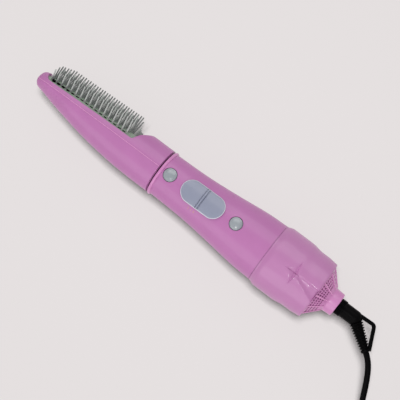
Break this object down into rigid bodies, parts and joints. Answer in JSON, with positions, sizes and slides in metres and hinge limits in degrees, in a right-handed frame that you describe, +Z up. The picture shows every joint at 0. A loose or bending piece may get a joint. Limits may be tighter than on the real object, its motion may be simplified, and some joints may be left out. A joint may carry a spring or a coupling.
{
  "type": "heated styling brush",
  "caption": "Hot-air styling brush with a pull-off bristle head, push buttons, a power slider, a fan and heater inside, and a mains cord on a swivel with a hanging loop.",
  "frame": {"origin": "on the surface the tool lies on, under the middle of the tool without its cord and plug", "axes": "+X along the tool from the brush tip to the cord, +Y the way the bristles point, +Z up, the way the buttons face while the tool lies on its side"},
  "size_m": [0.5829, 0.1104, 0.0599],
  "materials": {
    "pink_shell": "soft-gloss moulded shell",
    "pink_trim": "soft-gloss moulded trim",
    "grey_button": "glossy moulded button",
    "grey_slider": "satin moulded slider",
    "bristle_grey": "satin nylon",
    "black_plastic": "heat-proof moulded plastic",
    "black_rubber": "moulded cord rubber",
    "mica": "pressed mica sheet",
    "resistance_wire": "oxidised resistance wire",
    "steel": "drawn steel",
    "motor_can": "zinc-plated steel",
    "brass": "turned brass",
    "board": "phenolic circuit board",
    "white_plastic": "moulded switch plastic",
    "pin_metal": "nickel-plated brass"
  },
  "bodies": {
    "handle": {"handle_upper_shell": "pink_shell", "handle_lower_shell": "pink_shell", "shell_screws": "steel", "front_ring": "pink_trim", "outlet_spigot": "black_plastic", "release_spring": "steel", "cool_spring": "steel", "cool_switch": "black_plastic", "switch_body": "white_plastic", "circuit_board": "board", "board_diodes": "black_plastic", "mica_tube": "mica", "heater_cards": "mica", "heater_coil": "resistance_wire", "thermostat": "white_plastic", "thermal_fuse": "steel", "motor": "motor_can", "motor_mount": "white_plastic", "rear_housing": "pink_shell", "rear_grille": "pink_trim", "swivel_socket": "black_plastic"},
    "brush_head": {"head_front_shell": "pink_shell", "head_back_shell": "pink_shell", "bristle_insert": "bristle_grey", "head_socket": "black_plastic"},
    "release": {"release_button": "grey_button"},
    "cool_shot": {"cool_button": "grey_button"},
    "power_slider": {"slider_cap": "grey_slider", "switch_knob": "white_plastic"},
    "fan_rotor": {"fan": "black_plastic", "fan_shaft": "steel"},
    "cord_swivel": {"swivel_collar": "black_plastic", "slip_rings": "brass", "strain_relief": "black_rubber", "hang_loop": "black_rubber", "cord": "black_rubber", "cord_coil": "black_rubber", "cord_tail": "black_rubber", "plug_body": "black_rubber", "plug_pins": "pin_metal"}
  },
  "joints": [
    {"name": "head_pull_off", "type": "slide", "parent": "handle", "child": "brush_head", "axis": [-1, 0, -0.0049], "range_m": [0, 0.04]},
    {"name": "release_press", "type": "slide", "parent": "handle", "child": "release", "axis": [0.0049, 0, -1], "range_m": [0, 0.0014], "stiffness_N_per_m": 1200, "springref_m": -0.0005, "deforming": ["release_spring"]},
    {"name": "cool_press", "type": "slide", "parent": "handle", "child": "cool_shot", "axis": [0.0049, 0, -1], "range_m": [0, 0.0015], "stiffness_N_per_m": 900, "springref_m": -0.0005, "deforming": ["cool_spring"]},
    {"name": "power_slide", "type": "slide", "parent": "handle", "child": "power_slider", "axis": [-1, 0, -0.0049], "range_m": [0, 0.0058]},
    {"name": "fan_spin", "type": "hinge", "parent": "handle", "child": "fan_rotor", "pos_m": [0.08798, 0, 0.0301], "axis": [1, 0, 0.0049], "continuous": true},
    {"name": "cord_turn", "type": "hinge", "parent": "handle", "child": "cord_swivel", "pos_m": [0.14198, 0, 0.03037], "axis": [1, 0, 0.0049], "continuous": true}
  ]
}
